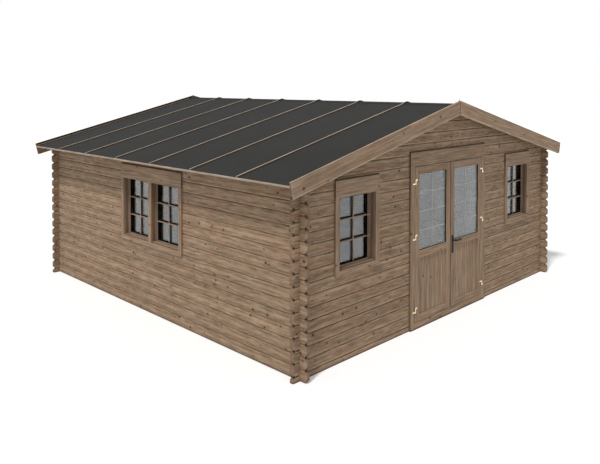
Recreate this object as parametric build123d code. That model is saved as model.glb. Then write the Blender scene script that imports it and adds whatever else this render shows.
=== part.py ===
import os
from math import ceil, cos, radians, sin, tan

from build123d import *

# Log cabin on a square plan: interlocking machined logs, a low gable roof under felt,
# a glazed double door and two windows in the front gable, a double window in the left wall.
# Frame: origin on the ground at the middle of the plan, front gable towards -Y, +Z up, millimetres.

# Walls
wall_length = 4830.0
log_thickness = 44.0
log_height = 114.0
log_top_chamfer = 13.0
log_foot_chamfer = 8.0
corner_overlap = 85.0
end_chamfer = 26.0
notch_share = 0.25
notch_clearance = 0.3
side_courses = 16

# Clearance of pieces that seat in one another, and how far cutters run past
fit_clearance = 0.3
cut_overrun = 60.0

# Roof
roof_pitch = 13.5
eave_overhang = 250.0
gable_overhang = 145.0
board_thickness = 18.0
felt_thickness = 3.0
purlin_width = 45.0
purlin_depth = 112.0
purlin_spacing = 800.0
purlins_per_slope = 2
barge_height = 158.0
barge_thickness = 20.0
barge_rise = 35.0
barge_mitre_gap = 16.0
eave_trim_height = 18.0
eave_trim_thickness = 14.0
batten_width = 18.0
batten_height = 12.0
battens_per_slope = 6
ridge_strip_reach = 70.0

# Floor
bearer_width = 58.0
bearer_count = 8
floor_thickness = 18.0
floor_gap = 8.0

# Door
door_leaf_width = 690.0
door_leaf_thickness = 40.0
door_head_thickness = 112.0
door_head_course = 16
door_gap = 6.0
door_stile_width = 80.0
door_bottom_rail = 70.0
door_mid_rail = 80.0
door_mid_rail_height = 767.0
door_trim_width = 74.0
door_trim_thickness = 20.0
door_stop = 15.0
door_frame_inside = 22.0
threshold_thickness = 16.0
panel_thickness = 18.0
panel_recess = 12.0
panel_groove_depth = 5.0
panel_groove_width = 8.0
panel_boards = 6
rebate_depth = 10.0
door_glass_recess = 18.0

# Door furniture
hinge_radius = 6.0
hinge_height = 56.0
hinge_arm_length = 36.0
hinge_arm_height = 16.0
hinge_arm_thickness = 3.0
hinge_offset = 8.0
hinge_level_shares = (0.079, 0.549, 0.905)
lever_inset = 40.0
lever_rise = 2.0
lever_length = 115.0
lever_height = 18.0
lever_thickness = 10.0
lever_tip_chamfer = 5.0
lever_neck_radius = 9.0
lever_reach = 48.0
spindle_radius = 4.0
plate_width = 36.0
plate_thickness = 6.0
plate_above_lever = 57.0
plate_below_lever = 148.0
plate_corner = 8.0

# Windows
front_window_width = 600.0
front_window_centre = 1632.0
front_window_course = 7
side_window_width = 1206.0
side_window_course = 7
window_courses = 7
settling_gap = 12.0
window_frame_width = 38.0
window_frame_inside = 50.0
window_mullion_width = 60.0
trim_width = 53.0
trim_lap = 27.0
trim_thickness = 20.0
head_trim_height = 165.0
head_trim_lap = 83.0
inner_trim_width = 55.0
inner_trim_thickness = 18.0
sash_stile = 54.0
sash_bottom_rail = 20.0
sash_top_rail = 45.0
sash_thickness = 50.0
sash_recess = 37.0
glass_thickness = 4.0
window_glass_recess = 67.0

# Derived places shared by the pieces
half_wall = wall_length / 2
wall_centre = half_wall - log_thickness / 2
inner_half = half_wall - log_thickness
half_log = half_wall + corner_overlap
face = log_thickness / 2
slope = tan(radians(roof_pitch))
pitch_cos = cos(radians(roof_pitch))
pitch_sin = sin(radians(roof_pitch))
eave_height = side_courses * log_height
ridge_height = eave_height + inner_half * slope
half_log_height = log_height / 2
roof_half_length = half_wall + gable_overhang - barge_thickness
roof_half_width = half_wall + eave_overhang
felt_top = board_thickness + felt_thickness
barge_top = felt_top + barge_rise * pitch_cos
floor_top = half_log_height - fit_clearance
bearer_height = floor_top - floor_thickness

wall_places = {
    "front": Pos(0, -wall_centre, 0),
    "rear": Pos(0, wall_centre, 0) * Rot(0, 0, 180),
    "left": Pos(-wall_centre, 0, 0) * Rot(0, 0, -90),
    "right": Pos(wall_centre, 0, 0) * Rot(0, 0, 90),
}


def save(name, *shapes):
    solids = []
    for shape in shapes:
        solids.extend(shape.solids())
    export_step(Compound(solids), f"parts/{name}.step")


def block(x_low, x_high, y_low, y_high, z_low, z_high):
    middle = Pos((x_low + x_high) / 2, (y_low + y_high) / 2, (z_low + z_high) / 2)
    return middle * Box(x_high - x_low, y_high - y_low, z_high - z_low)


def along_y(points, y_low, y_high):
    outline = Plane.XZ * Polygon(*points, align=None)
    return Pos(0, y_low, 0) * extrude(outline, y_high - y_low, dir=(0, 1, 0))


# Roof sections: a layer between two heights above the board underside, from the ridge to the eave
def slope_point(run, height):
    return (run * pitch_cos + height * pitch_sin, ridge_height - run * pitch_sin + height * pitch_cos)


def eave_run(reach, height):
    return (reach - height * pitch_sin) / pitch_cos


def slope_layer(side, low, high, run, y_low, y_high, ridge_gap=0):
    top_x, top_z = slope_point(run, high)
    foot_x, foot_z = slope_point(run, low)
    drop = ridge_gap * slope
    points = [
        (side * ridge_gap, ridge_height + low / pitch_cos - drop),
        (side * ridge_gap, ridge_height + high / pitch_cos - drop),
        (side * top_x, top_z),
        (side * foot_x, foot_z),
    ]
    return along_y(points, y_low, y_high)


# Purlins: the ridge purlin is peaked, the others have their tops planed to the slope
def purlin(x_centre):
    low_x = x_centre - purlin_width / 2
    high_x = x_centre + purlin_width / 2
    bottom = ridge_height - abs(x_centre) * slope - purlin_depth
    points = [(low_x, bottom), (high_x, bottom), (high_x, ridge_height - abs(high_x) * slope)]
    if x_centre == 0:
        points.append((0, ridge_height))
    points.append((low_x, ridge_height - abs(low_x) * slope))
    return along_y(points, -roof_half_length, roof_half_length)


ridge_purlin = purlin(0)
side_purlins = [
    purlin(side * purlin_spacing * number) for side in (-1, 1) for number in range(1, purlins_per_slope + 1)
]


# Logs: laid along X, outer face towards -Y, in the frame of their own wall.
# The chamfers are larger at the top, where they shed water.
def log_section(bottom, top, ripped=False, bevelled=False):
    points = []
    if ripped:
        points += [(-face, bottom), (face, bottom)]
    else:
        points += [(-face, bottom + log_foot_chamfer), (-face + log_foot_chamfer, bottom)]
        points += [(face - log_foot_chamfer, bottom), (face, bottom + log_foot_chamfer)]
    if bevelled:
        points += [(face, top), (-face, top - log_thickness * slope)]
    else:
        points += [(face, top - log_top_chamfer), (face - log_top_chamfer, top)]
        points += [(-face + log_top_chamfer, top), (-face, top - log_top_chamfer)]
    return Plane.YZ * Polygon(*points, align=None)


# A corner notch takes a quarter of the course from the top and from the bottom of each log,
# so that the crossing logs, half a course apart, lock into one another.
def corner_notches(bottom, top, ripped):
    depth = log_height * notch_share
    half_notch = face + notch_clearance
    notches = []
    for corner in (-wall_centre, wall_centre):
        sides = (corner - half_notch, corner + half_notch, -face - cut_overrun, face + cut_overrun)
        notches.append(block(*sides, top - depth, top + cut_overrun))
        if not ripped:
            notches.append(block(*sides, bottom - cut_overrun, bottom + depth))
    return notches


# The free ends of a log are taken off at their top and bottom corners
def end_chamfers(bottom, top, ripped):
    levels = [(top, -1)] if ripped else [(top, -1), (bottom, 1)]
    chamfers = []
    for end in (-1, 1):
        tip = end * half_log
        for level, inward in levels:
            points = [(tip, level), (tip - end * end_chamfer, level), (tip, level + inward * end_chamfer)]
            chamfers.append(along_y(points, -log_thickness, log_thickness))
    return chamfers


def spans(bottom, top, openings):
    middle = (bottom + top) / 2
    edges = [-half_log]
    for low_x, high_x, low_z, high_z in sorted(openings):
        if low_z < middle < high_z:
            edges += [low_x, high_x]
    edges.append(half_log)
    return list(zip(edges[::2], edges[1::2]))


def log_pieces(bottom, top, openings, ripped=False, bevelled=False, cuts=()):
    section = log_section(bottom, top, ripped, bevelled)
    joinery = [*corner_notches(bottom, top, ripped), *end_chamfers(bottom, top, ripped), *cuts]
    pieces = []
    for low_x, high_x in spans(bottom, top, openings):
        piece = Pos(low_x, 0, 0) * extrude(section, high_x - low_x, dir=(1, 0, 0)) - joinery
        pieces.extend(piece.solids())
    return pieces


def side_wall(openings):
    courses = []
    for number in range(side_courses):
        bottom = number * log_height
        is_top = number == side_courses - 1
        courses.append(log_pieces(bottom, bottom + log_height, openings, bevelled=is_top))
    return courses


def roof_space():
    reach = half_log + cut_overrun
    foot = ridge_height - reach * slope
    crown = ridge_height + log_height + cut_overrun
    points = [(-reach, foot), (0, ridge_height), (reach, foot), (reach, crown), (-reach, crown)]
    return along_y(points, -log_thickness, log_thickness)


def gable_wall(openings):
    courses = [log_pieces(0, half_log_height, openings, ripped=True)]
    peak = ridge_height - purlin_width * slope - log_top_chamfer
    eave_cut = ridge_height - half_log * slope
    purlin_foot = ridge_height - purlin_spacing * purlins_per_slope * slope - purlin_depth
    roof_cuts = [roof_space()]
    purlin_cuts = [ridge_purlin, *side_purlins]
    for number in range(ceil((peak - half_log_height) / log_height)):
        bottom = half_log_height + number * log_height
        top = bottom + log_height
        cuts = []
        if top > eave_cut:
            cuts += roof_cuts
        if top > purlin_foot:
            cuts += purlin_cuts
        courses.append(log_pieces(bottom, top, openings, cuts=cuts))
    return courses


# Openings in the walls, each on the courses that it takes out: low x, high x, low z, high z
door_clear_half = door_leaf_width + door_gap / 2 + door_gap
door_opening_half = door_clear_half + door_trim_width - trim_lap
door_opening_top = half_log_height + door_head_course * log_height
door_opening = (-door_opening_half, door_opening_half, half_log_height, door_opening_top)
front_sill = half_log_height + front_window_course * log_height
side_sill = side_window_course * log_height
window_height = window_courses * log_height


def window_opening(centre, width, sill):
    return (centre - width / 2, centre + width / 2, sill, sill + window_height)


left_front_opening = window_opening(-front_window_centre, front_window_width, front_sill)
right_front_opening = window_opening(front_window_centre, front_window_width, front_sill)
side_opening = window_opening(0, side_window_width, side_sill)

walls = {
    "left": side_wall([side_opening]),
    "right": side_wall([]),
    "front": gable_wall([left_front_opening, door_opening, right_front_opening]),
    "rear": gable_wall([]),
}


# Windows, in the frame of their wall: box frame, trims outside and inside, sashes, panes
def sash_holes(opening, sash_count):
    low_x, high_x, low_z, high_z = opening
    clear = high_x - low_x - 2 * window_frame_width - (sash_count - 1) * window_mullion_width
    width = clear / sash_count
    bottom = low_z + window_frame_width
    top = high_z - settling_gap - window_frame_width
    holes = []
    for number in range(sash_count):
        start = low_x + window_frame_width + number * (width + window_mullion_width)
        holes.append((start, start + width, bottom, top))
    return holes


def window_frame(opening, sash_count):
    low_x, high_x, low_z, high_z = opening
    top = high_z - settling_gap
    frame = block(low_x, high_x, -face, face + window_frame_inside, low_z, top)
    for hole in sash_holes(opening, sash_count):
        frame = frame - block(hole[0], hole[1], -face - cut_overrun, face + cut_overrun, hole[2], hole[3])
    return frame


def outer_trim(opening, sash_count):
    low_x, high_x, low_z, high_z = opening
    head_top = high_z + head_trim_lap
    cover = trim_width - trim_lap
    front = -face - trim_thickness
    board = block(low_x - trim_lap, high_x + trim_lap, front, -face, low_z - trim_lap, head_top)
    hole_top = head_top - head_trim_height
    trim = board - block(low_x + cover, high_x - cover, front - cut_overrun, face, low_z + cover, hole_top)
    holes = sash_holes(opening, sash_count)
    for before, after in zip(holes, holes[1:]):
        trim = trim + block(before[1], after[0], front, -face, low_z + cover, hole_top)
    return trim


def inner_trim(opening, bottom_width):
    low_x, high_x, low_z, high_z = opening
    outer_low = low_z - bottom_width
    outer_top = high_z + inner_trim_width
    back = face + inner_trim_thickness
    board = block(low_x - inner_trim_width, high_x + inner_trim_width, face, back, outer_low, outer_top)
    hole_low = low_z if bottom_width else low_z - cut_overrun
    return board - block(low_x, high_x, 0, back + cut_overrun, hole_low, high_z - settling_gap)


def pane_in(light, front, lap):
    low_x, high_x, low_z, high_z = light
    slack = lap - rebate_depth
    return block(low_x - lap, high_x + lap, front - slack, front + glass_thickness + slack,
                 low_z - lap, high_z + lap)


def sash_light(hole):
    low_x, high_x, low_z, high_z = hole
    return (low_x + sash_stile, high_x - sash_stile, low_z + sash_bottom_rail, high_z - sash_top_rail)


def window_sash(hole):
    low_x, high_x, low_z, high_z = hole
    front = -face + sash_recess
    back = front + sash_thickness
    body = block(low_x + fit_clearance, high_x - fit_clearance, front, back,
                 low_z + fit_clearance, high_z - fit_clearance)
    light = sash_light(hole)
    groove = pane_in(light, -face + window_glass_recess, rebate_depth + fit_clearance)
    return body - block(*light[:2], front - cut_overrun, back + cut_overrun, *light[2:]) - groove


def window_pane(hole):
    return pane_in(sash_light(hole), -face + window_glass_recess, rebate_depth)


# Door: frame with stops, trim outside, two leaves that swing outwards
threshold_top = half_log_height + threshold_thickness
leaf_bottom = threshold_top + door_gap
leaf_front = -face - door_trim_thickness
leaf_back = leaf_front + door_leaf_thickness
door_frame_top = door_opening_top - settling_gap
door_clear_top = door_frame_top - door_head_thickness
door_leaf_top = door_clear_top - door_gap
door_mid_rail_top = leaf_bottom + door_mid_rail_height
stop_front = leaf_back + door_gap
door_trim_top = door_opening_top + trim_lap
meeting_edge = door_gap / 2
hinge_edge = meeting_edge + door_leaf_width
hinge_axis_x = hinge_edge + door_gap / 2
hinge_axis_y = leaf_front - hinge_offset
hinge_levels = [leaf_bottom + (door_leaf_top - leaf_bottom) * share for share in hinge_level_shares]
lever_level = door_mid_rail_top + lever_rise


def door_frame():
    back = face + door_frame_inside
    frame = block(-door_opening_half, door_opening_half, -face, back, half_log_height, door_frame_top)
    passage = block(-door_clear_half, door_clear_half, -face - cut_overrun, stop_front,
                    threshold_top, door_clear_top)
    inner_half_width = door_clear_half - door_stop
    inner_passage = block(-inner_half_width, inner_half_width, 0, back + cut_overrun,
                          threshold_top, door_clear_top - door_stop)
    return frame - passage - inner_passage


def door_trim():
    half_width = door_clear_half + door_trim_width
    board = block(-half_width, half_width, -face - door_trim_thickness, -face, 0, door_trim_top)
    doorway = block(-door_clear_half, door_clear_half, -face - door_trim_thickness - cut_overrun, face,
                    threshold_top, door_clear_top)
    return board - doorway


def door_holes(side):
    low_x = min(side * (meeting_edge + door_stile_width), side * (hinge_edge - door_stile_width))
    high_x = max(side * (meeting_edge + door_stile_width), side * (hinge_edge - door_stile_width))
    glazed = (low_x, high_x, door_mid_rail_top, door_leaf_top - door_stile_width)
    boarded = (low_x, high_x, leaf_bottom + door_bottom_rail, door_mid_rail_top - door_mid_rail)
    return glazed, boarded


def panel_in(hole, lap):
    low_x, high_x, low_z, high_z = hole
    front = leaf_front + panel_recess
    slack = lap - rebate_depth
    return block(low_x - lap, high_x + lap, front - slack, front + panel_thickness + slack,
                 low_z - lap, high_z + lap)


def door_leaf(side):
    low_x = min(side * meeting_edge, side * hinge_edge)
    high_x = max(side * meeting_edge, side * hinge_edge)
    leaf = block(low_x, high_x, leaf_front, leaf_back, leaf_bottom, door_leaf_top)
    for hole in door_holes(side):
        leaf = leaf - block(hole[0], hole[1], leaf_front - cut_overrun, leaf_back + cut_overrun, *hole[2:])
    glazed, boarded = door_holes(side)
    leaf = leaf - pane_in(glazed, leaf_front + door_glass_recess, rebate_depth + fit_clearance)
    return leaf - panel_in(boarded, rebate_depth + fit_clearance)


# The lower panel is a run of upright boards with a V groove at each joint, on both faces
def door_panel(side):
    boarded = door_holes(side)[1]
    panel = panel_in(boarded, rebate_depth)
    low_x, high_x, low_z, high_z = boarded
    front = leaf_front + panel_recess
    back = front + panel_thickness
    for number in range(1, panel_boards):
        joint = low_x + (high_x - low_x) * number / panel_boards
        for surface, inward in ((front, 1), (back, -1)):
            points = [
                (joint - panel_groove_width / 2, surface),
                (joint, surface + inward * panel_groove_depth),
                (joint + panel_groove_width / 2, surface),
            ]
            groove = extrude(Polygon(*points, align=None), high_z - low_z, dir=(0, 0, 1))
            panel = panel - Pos(0, 0, low_z) * groove
    return panel


def door_pane(side):
    return pane_in(door_holes(side)[0], leaf_front + door_glass_recess, rebate_depth)


# Hinges: the lower knuckle stays on the frame, the upper one turns on it with the leaf.
# Each knuckle has an arm on the face that it is screwed to.
def hinge_knuckle(side, low_z, high_z):
    place = Pos(side * hinge_axis_x, hinge_axis_y, (low_z + high_z) / 2)
    return place * Cylinder(hinge_radius, high_z - low_z)


def hinge_arm(side, direction, low_z):
    root = side * hinge_axis_x
    tip = root + direction * (door_gap / 2 + hinge_arm_length)
    ends = (min(root, tip), max(root, tip))
    return block(*ends, leaf_front - hinge_arm_thickness, leaf_front, low_z, low_z + hinge_arm_height)


def fixed_hinge(side, level):
    foot = level - hinge_height / 2
    return hinge_knuckle(side, foot, level) + hinge_arm(side, side, foot)


def moving_hinge(side, level):
    top = level + hinge_height / 2
    return hinge_knuckle(side, level + fit_clearance, top) + hinge_arm(side, -side, top - hinge_arm_height)


# Lever handle of the right leaf: a flat grip on each face, one piece with the spindle between them,
# and a long plate on each face
lever_x = meeting_edge + lever_inset


def lever_post(radius, start_y, end_y):
    place = Pos(lever_x, (start_y + end_y) / 2, lever_level) * Rot(90, 0, 0)
    return place * Cylinder(radius, abs(end_y - start_y))


def lever_plate(front):
    outline = Rectangle(plate_width, plate_above_lever + plate_below_lever)
    outline = chamfer(outline.vertices(), plate_corner)
    centre = Pos(lever_x, front, lever_level + (plate_above_lever - plate_below_lever) / 2)
    plate = centre * extrude(Plane.XZ * outline, plate_thickness, dir=(0, 1, 0))
    return plate - lever_post(spindle_radius + fit_clearance, front, front + plate_thickness)


def lever_grip(plate_face, direction):
    end_y = plate_face + direction * lever_reach
    front_y = end_y - direction * lever_thickness
    neck = lever_post(lever_neck_radius, plate_face, end_y)
    sides = (min(front_y, end_y), max(front_y, end_y))
    grip = block(lever_x, lever_x + lever_length, *sides, lever_level - lever_height / 2,
                 lever_level + lever_height / 2)
    tip_edges = grip.edges().filter_by(Axis.Y).sort_by(Axis.X)[-2:]
    return neck + chamfer(tip_edges, lever_tip_chamfer)


def door_lever():
    outside = leaf_front - plate_thickness - fit_clearance
    inside = leaf_back + plate_thickness + fit_clearance
    return lever_grip(outside, -1) + lever_post(spindle_radius, outside, inside) + lever_grip(inside, 1)


# Battens hold the felt down, evenly spaced between the bargeboards
batten_spacing = 2 * (roof_half_length + barge_thickness) / (battens_per_slope + 1)
batten_places = [
    -roof_half_length - barge_thickness + number * batten_spacing for number in range(1, battens_per_slope + 1)
]
trim_face = eave_trim_thickness / pitch_cos
board_run = eave_run(roof_half_width - trim_face, felt_top)


def felt_battens(side):
    top = felt_top + batten_height
    return [
        slope_layer(side, felt_top, top, board_run, y - batten_width / 2, y + batten_width / 2)
        for y in batten_places
    ]


# The ridge strip is felt folded over the ridge and dressed over the top ends of the battens
def ridge_strip():
    strip = None
    for side in (-1, 1):
        bands = [(-roof_half_length, roof_half_length, felt_top + felt_thickness)]
        for y in batten_places:
            reach = batten_width / 2 + felt_thickness
            bands.append((y - reach, y + reach, felt_top + batten_height + felt_thickness))
        for low_y, high_y, top in bands:
            band = slope_layer(side, felt_top, top, ridge_strip_reach, low_y, high_y)
            strip = band if strip is None else strip + band
    for side in (-1, 1):
        for batten in felt_battens(side):
            strip = strip - batten
    return strip


def eave_trim(side):
    top_run = board_run + eave_trim_thickness
    points = []
    for run, height in ((board_run, felt_top), (top_run, felt_top), (top_run, felt_top - eave_trim_height),
                        (board_run, felt_top - eave_trim_height)):
        x, z = slope_point(run, height)
        points.append((side * x, z))
    return along_y(points, -roof_half_length, roof_half_length)


def bargeboard(side, end):
    run = eave_run(roof_half_width, barge_top)
    low_y = min(end * roof_half_length, end * (roof_half_length + barge_thickness))
    high_y = max(end * roof_half_length, end * (roof_half_length + barge_thickness))
    return slope_layer(side, barge_top - barge_height, barge_top, run, low_y, high_y, barge_mitre_gap / 2)


# Floor: boards on bearers, inside the walls
floor_half = inner_half - floor_gap


def floor_bearers():
    pitch = (2 * floor_half - bearer_width) / (bearer_count - 1)
    bearers = []
    for number in range(bearer_count):
        low_y = -floor_half + number * pitch
        bearers.append(block(-floor_half, floor_half, low_y, low_y + bearer_width, 0, bearer_height))
    return bearers


os.makedirs("parts", exist_ok=True)

for wall, courses in walls.items():
    place = wall_places[wall]
    save(f"{wall}_wall_odd_logs", *[place * piece for course in courses[0::2] for piece in course])
    save(f"{wall}_wall_even_logs", *[place * piece for course in courses[1::2] for piece in course])

save("ridge_purlin", ridge_purlin)
save("side_purlins", *side_purlins)
for side, word in ((-1, "left"), (1, "right")):
    ends = (-roof_half_length, roof_half_length)
    save(f"{word}_roof_boards", slope_layer(side, 0, board_thickness, board_run, *ends))
    save(f"{word}_roof_felt", slope_layer(side, board_thickness, felt_top, board_run, *ends))
    save(f"{word}_felt_battens", *felt_battens(side))
    save(f"front_{word}_bargeboard", bargeboard(side, -1))
    save(f"rear_{word}_bargeboard", bargeboard(side, 1))
save("ridge_felt_strip", ridge_strip())
save("eave_trims", eave_trim(-1), eave_trim(1))

front = wall_places["front"]
left = wall_places["left"]
front_openings = (left_front_opening, right_front_opening)
front_holes = [hole for opening in front_openings for hole in sash_holes(opening, 1)]
side_holes = sash_holes(side_opening, 2)
save("front_window_frames", *[front * window_frame(opening, 1) for opening in front_openings])
save("front_window_trims", *[front * outer_trim(opening, 1) for opening in front_openings])
save("front_window_sashes", *[front * window_sash(hole) for hole in front_holes])
save("front_window_glass", *[front * window_pane(hole) for hole in front_holes])
save("side_window_frame", left * window_frame(side_opening, 2))
save("side_window_trim", left * outer_trim(side_opening, 2))
save("side_window_sashes", *[left * window_sash(hole) for hole in side_holes])
save("side_window_glass", *[left * window_pane(hole) for hole in side_holes])
inner_trims = [front * inner_trim(opening, inner_trim_width) for opening in front_openings]
inner_trims.append(left * inner_trim(side_opening, inner_trim_width))
inner_trims.append(front * inner_trim(door_opening, 0))
save("inner_trims", *inner_trims)

save("door_frame", front * door_frame())
save("door_trim", front * door_trim())
save("frame_hinges", *[front * fixed_hinge(side, level) for side in (-1, 1) for level in hinge_levels])
for side, word in ((-1, "left"), (1, "right")):
    leaf = door_leaf(side)
    if side > 0:
        leaf = leaf - lever_post(spindle_radius + fit_clearance, leaf_front, leaf_back)
    save(f"{word}_door_leaf", front * leaf)
    save(f"{word}_door_panel", front * door_panel(side))
    save(f"{word}_door_glass", front * door_pane(side))
    save(f"{word}_door_hinges", *[front * moving_hinge(side, level) for level in hinge_levels])
save("lever_plates", front * lever_plate(leaf_front - plate_thickness), front * lever_plate(leaf_back))
save("door_lever", front * door_lever())

save("floor_boards", block(-floor_half, floor_half, -floor_half, floor_half, bearer_height, floor_top))
save("floor_bearers", *floor_bearers())
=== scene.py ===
import math
import random

import bmesh
import bpy
from mathutils import Matrix, Vector


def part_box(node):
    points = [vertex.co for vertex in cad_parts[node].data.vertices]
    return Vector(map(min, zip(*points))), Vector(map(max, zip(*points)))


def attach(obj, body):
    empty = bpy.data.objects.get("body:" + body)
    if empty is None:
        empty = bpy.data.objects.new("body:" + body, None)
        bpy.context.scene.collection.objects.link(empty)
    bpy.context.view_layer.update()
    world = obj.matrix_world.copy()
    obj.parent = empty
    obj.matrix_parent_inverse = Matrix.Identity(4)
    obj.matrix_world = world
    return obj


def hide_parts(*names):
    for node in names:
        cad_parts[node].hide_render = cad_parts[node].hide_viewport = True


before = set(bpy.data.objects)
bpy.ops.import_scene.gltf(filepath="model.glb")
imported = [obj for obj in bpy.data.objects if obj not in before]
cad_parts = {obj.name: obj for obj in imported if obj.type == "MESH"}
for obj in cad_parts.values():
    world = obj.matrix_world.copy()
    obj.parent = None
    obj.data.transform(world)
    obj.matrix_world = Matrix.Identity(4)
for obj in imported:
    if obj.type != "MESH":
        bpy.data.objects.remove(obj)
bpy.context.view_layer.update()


# mesh helpers
meshSettings = {
    "mergeDistance": 0.00002, "flatAngle": 1, "sharpAngle": 25,   # angles in degrees
    "stripEdge": 0.001, "thinEdge": 0.0005, "paneEdge": 0.0004,   # roundings that several pieces share
    "slack": 0.0005,   # gap between pieces that meet
    "onEdge": 0.0005, "touch": 0.001,   # how near counts as the same place
    "facing": 0.9,   # how far a face has to point one way to count as facing it
}


def newMesh():   # the first layer marks faces made paler, by wear on eased edges and by painted highlights; the second marks faces darkened with painted shade
    bm = bmesh.new()
    bm.faces.layers.float.new("wearAndPaintedLight")
    bm.faces.layers.float.new("paintedShade")
    return bm


def markFaces(bm, layer, value, test):
    bm.normal_update()
    marks = bm.faces.layers.float[layer]
    for face in bm.faces:
        if test(face.normal, face.calc_center_median()):
            face[marks] = value


def mergedCopy(nodeName):
    bm = newMesh()
    bm.from_mesh(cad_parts[nodeName].data)
    bmesh.ops.remove_doubles(bm, verts=bm.verts, dist=meshSettings["mergeDistance"])
    flat = math.radians(meshSettings["flatAngle"])
    bmesh.ops.dissolve_limit(bm, angle_limit=flat, verts=bm.verts, edges=bm.edges)
    return bm


def islands(bm):
    found = []
    seen = set()
    for start in bm.verts:
        if start in seen:
            continue
        seen.add(start)
        group = [start]
        for vert in group:   # the list grows while it is walked
            for edge in vert.link_edges:
                other = edge.other_vert(vert)
                if other not in seen:
                    seen.add(other)
                    group.append(other)
        found.append(group)
    return found


def corners(points):
    low = Vector([min(p[i] for p in points) for i in range(3)])
    high = Vector([max(p[i] for p in points) for i in range(3)])
    return low, high


def bevelEdges(bm, edges, width, segments):
    made = bmesh.ops.bevel(bm, geom=edges, offset=width, offset_type="OFFSET", segments=segments,
                           profile=0.5, affect="EDGES", clamp_overlap=True, material=-1)
    for face in made["faces"]:
        face[bm.faces.layers.float["wearAndPaintedLight"]] = 1.0


def edgesOf(verts):   # each edge once, in the order of the vertices
    return list(dict.fromkeys(e for v in verts for e in v.link_edges))


def softenEdges(bm, width, segments=2, minAngle=meshSettings["sharpAngle"]):
    for group in islands(bm):
        edges = [e for e in edgesOf(group) if e.is_manifold]
        sharp = [e for e in edges if e.calc_face_angle() > math.radians(minAngle)]
        bevelEdges(bm, sharp, width, segments)


def addBoard(bm, low, high, edge, segments=2):
    low, high = Vector(low), Vector(high)
    place = Matrix.Translation((low + high) / 2) @ Matrix.Diagonal((*(high - low), 1))
    made = bmesh.ops.create_cube(bm, size=1, matrix=place)
    bevelEdges(bm, edgesOf(made["verts"]), edge, segments)


# Every board carries its own grain: metres along, across and through it, with a random start,
# so that one wood material runs the right way on all of them.
grainSettings = {"start": 300, "pith": 0.05, "pithDepth": (0.5, 1.6), "endFacing": 0.75}


def layGrain(bm, seed, along=None):
    s = grainSettings
    rng = random.Random(seed)
    grain = bm.verts.layers.float_vector.new("grain")
    tone = bm.verts.layers.float.new("tone")
    ends = bm.faces.layers.float.new("endGrain")
    for group in islands(bm):
        low, high = corners([v.co for v in group])
        size = high - low
        order = sorted(range(3), key=lambda i: -size[i])
        axes = [Vector([float(i == n) for i in range(3)]) for n in order]
        if along is not None:
            axes[0] = Vector(along).normalized()
            axes[1] = (axes[1] - axes[0] * axes[1].dot(axes[0])).normalized()
            axes[2] = axes[0].cross(axes[1])
        middle = (low + high) / 2
        start = rng.uniform(0, s["start"])
        shift = (rng.uniform(-s["pith"], s["pith"]), rng.uniform(*s["pithDepth"]) * s["pith"])
        offsets = (start, *shift)
        shade = rng.random()
        faces = set()
        for vert in group:
            reach = vert.co - middle
            vert[grain] = [reach.dot(axis) + offset for axis, offset in zip(axes, offsets)]
            vert[tone] = shade
            faces.update(vert.link_faces)
        for face in faces:
            face[ends] = float(abs(face.normal.dot(axes[0])) > s["endFacing"])


def makePiece(name, bm, body, material, replaced=(), roundedAngle=None):
    bm.normal_update()
    if roundedAngle:
        for face in bm.faces:
            face.smooth = True
        for edge in bm.edges:
            edge.smooth = edge.is_manifold and edge.calc_face_angle() < math.radians(roundedAngle)
    mesh = bpy.data.meshes.new(name)
    bm.to_mesh(mesh)
    bm.free()
    piece = bpy.data.objects.new(name, mesh)
    bpy.context.scene.collection.objects.link(piece)
    mesh.materials.append(material)
    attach(piece, body)
    if replaced:
        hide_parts(*replaced)


# material helpers

def screen(*levels):   # a colour as seen on screen, 0 to 255, in the renderer's linear values
    return [((c / 255 + 0.055) / 1.055) ** 2.4 for c in levels] + [1.0]


def connect(tree, value, socket):
    if isinstance(value, bpy.types.NodeSocket):
        tree.links.new(value, socket)
    else:
        socket.default_value = value


def addNode(tree, kind, options={}, inputs={}):
    node = tree.nodes.new("ShaderNode" + kind)
    for name, value in options.items():
        setattr(node, name, value)
    for name, value in inputs.items():
        connect(tree, value, node.inputs[name])
    return node


def attribute(tree, name, output):
    return addNode(tree, "Attribute", {"attribute_name": name}).outputs[output]


def objectPlace(tree):
    return addNode(tree, "TexCoord").outputs["Object"]


def scaled(tree, vector, scale):
    node = addNode(tree, "VectorMath", {"operation": "MULTIPLY"})
    connect(tree, vector, node.inputs[0])
    connect(tree, scale, node.inputs[1])
    return node.outputs[0]


def noise(tree, vector, scale, detail, roughness):
    values = {"Vector": vector, "Scale": scale, "Detail": detail, "Roughness": roughness}
    return addNode(tree, "TexNoise", {}, values).outputs["Fac"]


def remap(tree, value, fromLow, fromHigh, toLow=0.0, toHigh=1.0):
    values = {"Value": value, "From Min": fromLow, "From Max": fromHigh}
    values.update({"To Min": toLow, "To Max": toHigh})
    return addNode(tree, "MapRange", {}, values).outputs["Result"]


def noiseTo(tree, value, toLow=0.0, toHigh=1.0):   # most of a noise lies between 0.3 and 0.7
    return remap(tree, value, 0.3, 0.7, toLow, toHigh)


def calculate(tree, operation, first, second):
    node = addNode(tree, "Math", {"operation": operation})
    connect(tree, first, node.inputs[0])
    connect(tree, second, node.inputs[1])
    return node.outputs[0]


def scaledValue(tree, value, factor):
    return calculate(tree, "MULTIPLY", value, factor)


def mixColour(tree, factor, first, second):
    node = addNode(tree, "Mix", {"data_type": "RGBA"})
    connect(tree, factor, node.inputs[0])
    connect(tree, first, node.inputs[6])
    connect(tree, second, node.inputs[7])
    return node.outputs[2]


def bump(tree, height, distance, strength=1.0):
    values = {"Height": height, "Distance": distance, "Strength": strength}
    return addNode(tree, "Bump", {}, values).outputs["Normal"]


def newMaterial(name):
    material = bpy.data.materials.new(name)
    material.use_nodes = True
    return material.node_tree, material.node_tree.nodes["Principled BSDF"], material
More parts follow.
